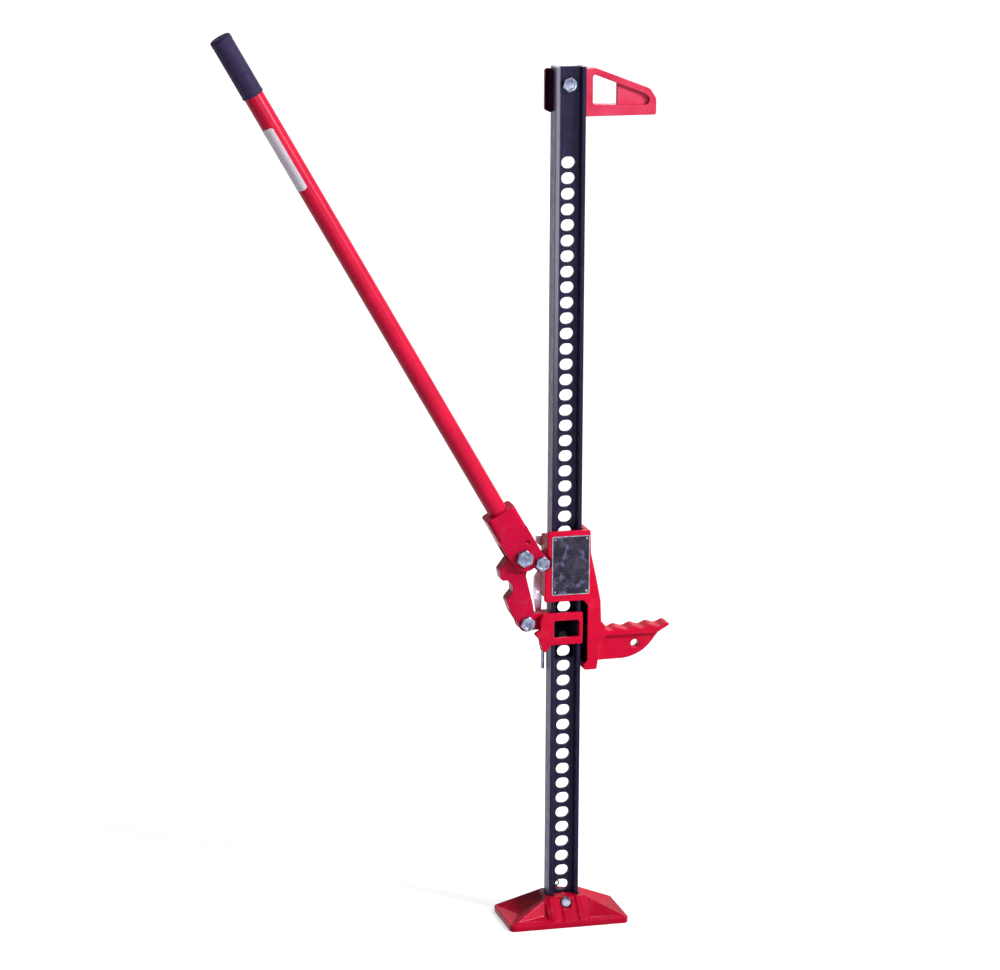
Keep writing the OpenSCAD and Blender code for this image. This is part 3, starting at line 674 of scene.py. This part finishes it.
# ---- rack and small parts that keep their CAD shape ----
def build_plain_parts():
    place(crisp("rack_bar", 0.7, angle=50), "rack_bar", RACK)
    place(crisp("base_pin", 0.4), "base_pin", ZINC)
    place(crisp("reversing_latch", 0.6, angle=50), "reversing_latch", PASSIVATED)
    place(crisp("release_rod", 0.5), "release_rod", ZINC)
    place(crisp("latch_pivot_screw", 0.5), "latch_pivot_screw", DARK_STEEL)
    for level in ("upper", "lower"):
        place(crisp(level + "_spring_cap", 0.5), level + "_spring_cap", DARK_STEEL)
        build_climbing_pin(level)


def build_climbing_pin(level):
    """The pin's collar tapers at the front, clear of the round corner at the floor of its chamber."""
    node = level + "_climbing_pin"
    piece = crisp(node, 0.4, angle=25)
    low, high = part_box(node)
    collar_front, collar_back, front_radius, taper = 37.0, 40.0, 8.7, 0.43
    for vertex in piece.data.vertices:
        depth = vertex.co.y / MM
        across = Vector((vertex.co.x - (low.x + high.x) / 2, 0, vertex.co.z - (low.z + high.z) / 2))
        widest = (front_radius + (depth - collar_front) * taper) * MM
        if collar_front - 0.1 < depth < collar_back + 0.1 and across.length > widest:
            vertex.co -= across * (1 - widest / across.length)
    place(piece, node, OILED_STEEL)


def build_fasteners():
    hex_bolt("top_clamp_bolt", 7.5, 19, 6, 20)
    hex_nut("top_clamp_nut", 19, 6)
    hex_bolt("shear_bolt", 7.5, 19, 6, 15)
    hex_nut("shear_nut", 18, 6)
    hex_bolt("pitman_upper_bolt", 8.5, 22, 7, 14, pitch=1.75)
    hex_nut("pitman_upper_nut", 22, 7)
    hex_bolt("pitman_lower_bolt", 7.5, 19, 6, 14)
    hex_nut("pitman_lower_nut", 19, 6)


def build_springs():
    """Springs whose end turns lie almost flat. Each squeezes between its runner's cap and its pin."""
    radius, thick, turns, steps = 8.4 * MM, 0.8 * MM, 6, 210
    flat, flat_rise = 0.9, 1.9 * thick  # turns at each end, and how far they climb
    for level, body, pin in (("upper", "large_runner", "upper_pin"), ("lower", "small_runner", "lower_pin")):
        node = level + "_pin_spring"
        low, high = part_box(node)
        middle = (low + high) / 2
        open_rise = high.y - low.y - 2 * thick - 2 * flat_rise
        path = []
        for i in range(steps + 1):
            turned = i / steps * turns
            on_ends = min(turned, flat) + max(turned - turns + flat, 0.0)
            between = min(max((turned - flat) / (turns - 2 * flat), 0.0), 1.0)
            rise = thick + between * open_rise + on_ends / flat * flat_rise
            a = 2 * math.pi * turned
            path.append((middle.x + radius * math.cos(a), low.y + rise, middle.z + radius * math.sin(a)))
        coil = wire(node + "_coil", path, thick, sides=10)
        coil.data.materials.append(SPRING_STEEL)
        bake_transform(coil)
        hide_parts(node)


def build_cross_pins():
    """Rolled pins through the tails of the climbing pins."""
    for level in ("upper", "lower"):
        node = level + "_cross_pin"
        low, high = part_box(node)
        middle = (low + high) / 2
        r, length = (high.x - low.x) / 2 / MM, (high.z - low.z) / MM
        inner, end = r - 0.9, r - 0.6
        at = axes((middle.x, middle.y, low.z), (0, 0, 1), (0, 1, 0))
        profile = [(inner, 0), (end, 0), (r, 0.9), (r, length - 0.9), (end, length), (inner, length),
                   (inner, length * 0.75), (inner, length * 0.25)]
        place(lathe(node + "_rolled", profile, at, closed=True, count=32), node, ZINC)


def build_cotter():
    """The base pin's split pin: up one leg, round the eye, down the other leg, which is bent out."""
    low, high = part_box("base_cotter")
    middle = (low + high) / 2
    leg = 0.7  # from the middle to each leg
    path = []
    for i in range(8):
        path.append((middle.x - leg * MM, middle.y, low.z + (1.2 + 17.5 * i / 7) * MM))
    eye = Vector((middle.x, middle.y + 0.25 * MM, high.z - 4.9 * MM))
    for i in range(25):
        a = math.radians(-100 - 340 * i / 24)
        path.append(eye + Vector((math.cos(a), 0, math.sin(a))) * 3.9 * MM)
    for i in range(8):
        out = leg + 1.6 * (i / 7) ** 2
        path.append((middle.x + out * MM, middle.y + 0.3 * MM, high.z - (9.5 + 10.0 * i / 7) * MM))
    place(wire("base_cotter_split", path, 1.0 * MM), "base_cotter", ZINC)


# ---- handle ----
# Places along the handle, in mm from the upper pitman bolt.
TUBE_FOOT = 41.0
TUBE_TOP = 851.0
HANDLE_END = 856.0
ROLL_PIN_AT = 57.0
GRIP_LENGTH = 91.0
LABEL_LENGTH = 98.0
LABEL_BELOW_END = 139.0
TUBE_RADIUS = 14.0


def along_handle(distance):
    """A point on the tube's axis, which passes 3 mm beside the upper pitman bolt."""
    return CRANK + (UP_HANDLE * distance + SIDE_HANDLE * 3.0) * MM


def build_tube():
    at = axes(along_handle(0), UP_HANDLE, (0, 1, 0))
    inner, chamfer = 11.5, 0.8
    tube = [(inner, TUBE_FOOT), (TUBE_RADIUS - chamfer, TUBE_FOOT), (TUBE_RADIUS, TUBE_FOOT + chamfer)]
    tube += [(TUBE_RADIUS, h) for h in np.linspace(TUBE_FOOT + 2, TUBE_TOP - 2, 40)]
    tube += [(TUBE_RADIUS, TUBE_TOP - chamfer), (TUBE_RADIUS - chamfer, TUBE_TOP), (inner, TUBE_TOP),
             (inner, (TUBE_FOOT + TUBE_TOP) / 2)]
    place(lathe("handle_tube_drawn", tube, at, closed=True, count=96), "handle_tube", TUBE)


def build_grip():
    """A moulded grip: a bead at each end, a round nose with a dimple, and the tube's seat inside."""
    at = axes(along_handle(0), UP_HANDLE, (0, 1, 0))
    end, start = HANDLE_END, HANDLE_END - GRIP_LENGTH
    r, bore, nose = 15.5, 14.06, 3.2
    skin = [(bore, start + 0.5), (14.3, start), (r - 0.7, start), (r - 0.15, start + 0.5),
            (r, start + 1.4), (r, start + 3.0), (r - 0.45, start + 3.8), (r - 0.45, start + 5.0)]
    skin += [(r - 0.3, h) for h in np.linspace(start + 6.5, end - 12, 14)]
    skin += [(r - 0.45, end - 10.5), (r - 0.45, end - 9.6), (r, end - 8.8)]
    skin += [(r - nose * (1 - math.cos(a)), end - nose + nose * math.sin(a) * 0.98)
             for a in np.linspace(0, math.pi / 2, 7)]
    skin += [(9.0, end - 0.02), (4.0, end - 0.10), (2.2, end - 0.35), (1.6, end - 1.4), (0.8, end - 1.5)]
    skin += [(0.8, end - 4.8), (13.0, end - 4.9), (bore, end - 5.1)]
    grip = lathe("handle_grip_moulded", skin, at, closed=True, smooth=40, count=96)
    place(grip, "handle_grip", RUBBER)


def build_label():
    """A thin film wrapped on the tube, with rounded corners and lifted edges."""
    at = axes(along_handle(0), UP_HANDLE, SIDE_HANDLE)
    start, length = HANDLE_END - LABEL_BELOW_END - LABEL_LENGTH, LABEL_LENGTH
    first, last = math.radians(165.0), math.radians(265.0)
    under, top, corner, rows, columns = 14.03, 14.2, 4.0, 56, 40
    wide = (last - first) * top
    outer, inner = [], []
    for i in range(rows + 1):
        h = length * i / rows
        inset = max(corner - min(h, length - h), 0.0)
        cut = corner - math.sqrt(corner ** 2 - inset ** 2)
        for j in range(columns + 1):
            across = cut + (wide - 2 * cut) * j / columns
            a = first + across / top
            rim = max(min(across, wide - across, h, length - h), 0.0)
            lift = 0.10 * math.exp(-rim / 1.2) * (0.5 + 0.5 * math.sin(0.9 * h + 3.0 * j / columns))
            puff = 0.04 * math.sin(0.31 * h + 1.3) * math.sin(2.1 * across / wide + 0.4)
            outer.append(at @ Vector(around(top + lift + puff, a, start + h)))
            inner.append(at @ Vector(around(under, a, start + h)))
    step = columns + 1
    size = len(outer)
    faces = []
    for i in range(rows):
        for j in range(columns):
            a, b, c, d = i * step + j, i * step + j + 1, (i + 1) * step + j + 1, (i + 1) * step + j
            faces.append((a, b, c, d))
            faces.append((size + d, size + c, size + b, size + a))
    border = list(range(columns))
    border += [i * step + columns for i in range(rows)]
    border += [rows * step + columns - j for j in range(columns)]
    border += [(rows - i) * step for i in range(rows)]
    for k, a in enumerate(border):
        b = border[(k + 1) % len(border)]
        faces.append((b, a, size + a, size + b))
    place(new_piece("handle_label_film", outer + inner, faces, 50), "handle_label", FILM)


def build_roll_pin():
    """A sheet rolled into a pin, with its slit."""
    r, wall, chamfer, length, slit = 3.0, 1.0, 0.45, 46.0, 0.35
    at = axes(along_handle(ROLL_PIN_AT) - SIDE_HANDLE * (length / 2) * MM, SIDE_HANDLE, (0, 1, 0))
    angles = np.linspace(slit, 2 * math.pi - slit, 40)
    rings = []
    for h, cut in ((0.0, chamfer), (0.8, 0.0), (length / 2, 0.0), (length - 0.8, 0.0), (length, chamfer)):
        outside = [around(r - cut, a, h) for a in angles]
        inside = [around(r - wall, a, h) for a in reversed(angles)]
        rings.append(outside + inside)
    place(skin_rings("tube_roll_pin_rolled", rings, at, smooth=40), "tube_roll_pin", DARK_STEEL)


# ---- data plate ----
def build_data_plate():
    """A blank stamped plate: raised silvery rim, dark field, four drive rivets."""
    low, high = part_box("data_plate")
    cx, cz = (low.x + high.x) / 2, (low.z + high.z) / 2
    half_x, half_z = (high.x - low.x) / 2, (high.z - low.z) / 2
    thick = high.y - low.y
    rim_width, rivet_in = 1.45 * MM, 4.6 * MM

    def outline(inset, radius):
        points = []
        for sx, sz, turn in ((1, 1, 0), (-1, 1, 90), (-1, -1, 180), (1, -1, 270)):
            centre = ((half_x - inset - radius) * sx, (half_z - inset - radius) * sz)
            for k in range(7):
                a = math.radians(turn + 15 * k)
                points.append((centre[0] + radius * math.cos(a), centre[1] + radius * math.sin(a)))
        return points

    rings = []
    for inset, radius, depth in ((0.0, 2.5, 1.0), (0.0, 2.5, 0.25), (0.15, 2.4, 0.06), (0.35, 2.2, 0.0),
                                 (1.0, 1.8, 0.0), (1.3, 1.6, 0.10), (1.6, 1.4, 0.32)):
        y = low.y + thick * depth
        rings.append([(cx + x, y, cz + z) for x, z in outline(inset * MM, radius * MM)])
    plate = skin_rings("data_plate_stamped", rings, Matrix.Identity(4), smooth=30)
    plate.data.materials.append(RIM)
    plate.data.materials.append(FIELD)
    for face in plate.data.polygons:
        c = face.center
        inside = abs(c.x - cx) < half_x - rim_width and abs(c.z - cz) < half_z - rim_width
        if inside and c.y < low.y + 0.6 * thick:
            face.material_index = 1
    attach(plate, "large_runner")
    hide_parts("data_plate")

    head = [(1.6, 0), (1.6, 0.12), (1.45, 0.25), (1.1, 0.38), (0.6, 0.46), (0.2, 0.48)]
    for side, sx in (("left", -1), ("right", 1)):
        for end, sz in (("low", -1), ("high", 1)):
            x = cx + sx * (half_x - rivet_in)
            z = cz + sz * (half_z - rivet_in)
            at = axes((x, low.y + 0.5 * thick, z), (0, -1, 0), (1, 0, 0))
            rivet = lathe("plate_rivet_%s_%s" % (side, end), head, at, count=32, smooth=60)
            rivet.data.materials.append(RIM)
            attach(rivet, "large_runner")


# ---- stage ----
def build_sky(tree):
    """Soft studio light, brighter from above and the toe side, in front of a plain pale backdrop."""
    backdrop = tree.nodes["Background"]
    backdrop.inputs["Color"].default_value = (0.985, 0.985, 0.99, 1)
    direction = tree.nodes.new("ShaderNodeTexCoord").outputs["Generated"]
    across = tree.nodes.new("ShaderNodeVectorMath")
    across.operation = "DOT_PRODUCT"
    across.inputs[1].default_value = (0.80, -0.36, 0.48)
    tree.links.new(direction, across.inputs[0])
    level = tree.nodes.new("ShaderNodeMapRange")
    level.interpolation_type = "SMOOTHSTEP"
    dim_side, lit_side, darkest, brightest = -0.6, 0.95, 0.03, 0.46
    for socket, value in zip(list(level.inputs)[1:5], (dim_side, lit_side, darkest, brightest)):
        socket.default_value = value
    tree.links.new(across.outputs["Value"], level.inputs[0])
    light = tree.nodes.new("ShaderNodeBackground")
    light.inputs["Color"].default_value = (0.98, 0.98, 1.0, 1)
    rays = tree.nodes.new("ShaderNodeLightPath")
    sheen = tree.nodes.new("ShaderNodeMath")
    sheen.operation = "MULTIPLY_ADD"
    sheen.inputs[1].default_value = 0.30
    tree.links.new(rays.outputs["Is Glossy Ray"], sheen.inputs[0])
    tree.links.new(level.outputs[0], sheen.inputs[2])
    tree.links.new(sheen.outputs[0], light.inputs["Strength"])
    both = tree.nodes.new("ShaderNodeMixShader")
    tree.links.new(rays.outputs["Is Camera Ray"], both.inputs[0])
    tree.links.new(light.outputs[0], both.inputs[1])
    tree.links.new(backdrop.outputs[0], both.inputs[2])
    tree.links.new(both.outputs[0], tree.nodes["World Output"].inputs["Surface"])


def build_floor():
    """A round floor of four rings, the largest 60 m in radius."""
    sides, radii = 64, (60.0, 8.0, 2.0, 0.2)
    verts, faces = [], []
    for i, r in enumerate(radii):
        for k in range(sides):
            a = 2 * math.pi * k / sides
            verts.append((r * math.cos(a), r * math.sin(a), 0))
            if i > 0:
                before, this, beside = (i - 1) * sides, i * sides, (k + 1) % sides
                faces.append((before + k, before + beside, this + beside, this + k))
    faces.append(tuple(range(len(verts) - sides, len(verts))))
    mesh = bpy.data.meshes.new("floor")
    mesh.from_pydata(verts, [], faces)
    floor = bpy.data.objects.new("floor", mesh)
    SCENE.collection.objects.link(floor)
    floor.data.materials.append(floor_paper())


def build_lights():
    """The sky, and three round lamps: name, place, diameter and power."""
    world = bpy.data.worlds.new("studio")
    world.use_nodes = True
    SCENE.world = world
    build_sky(world.node_tree)
    target = Vector((-0.1, 0, 0.6))
    for name, where, size, power in (("key", (1.9, -1.9, 2.2), 0.7, 96),
                                     ("fill", (0.2, -3.2, 1.0), 1.0, 17),
                                     ("back", (0.9, 2.2, 2.3), 1.0, 24)):
        lamp = bpy.data.lights.new(name, "AREA")
        lamp.shape = "DISK"
        lamp.size = size
        lamp.energy = power
        light = bpy.data.objects.new(name, lamp)
        light.location = where
        light.rotation_euler = (target - Vector(where)).to_track_quat("-Z", "Y").to_euler()
        SCENE.collection.objects.link(light)
    SCENE.view_settings.view_transform = "Standard"


def build_camera():
    """The photo's viewing angle: from the front and a little from the handle's side, from above."""
    azimuth, elevation, roll = math.radians(-14.77), math.radians(13.0), math.radians(0.308)
    target, distance = Vector((-0.0951, 0, 0.6504)), 5.243
    back = Vector((math.sin(azimuth) * math.cos(elevation),
                   -math.cos(azimuth) * math.cos(elevation),
                   math.sin(elevation)))
    tilt = Matrix.Rotation(roll, 3, "Z").to_quaternion()
    camera = bpy.data.objects.new("camera", bpy.data.cameras.new("camera"))
    camera.data.lens = 133.66
    camera.data.sensor_width = 36
    camera.location = target + back * distance
    camera.rotation_mode = "QUATERNION"
    camera.rotation_quaternion = (-back).to_track_quat("-Z", "Y") @ tilt
    SCENE.collection.objects.link(camera)
    SCENE.camera = camera


build_castings()
build_plain_parts()
build_fasteners()
build_springs()
build_cross_pins()
build_cotter()
build_tube()
build_grip()
build_label()
build_roll_pin()
build_data_plate()
build_floor()
build_lights()
build_camera()
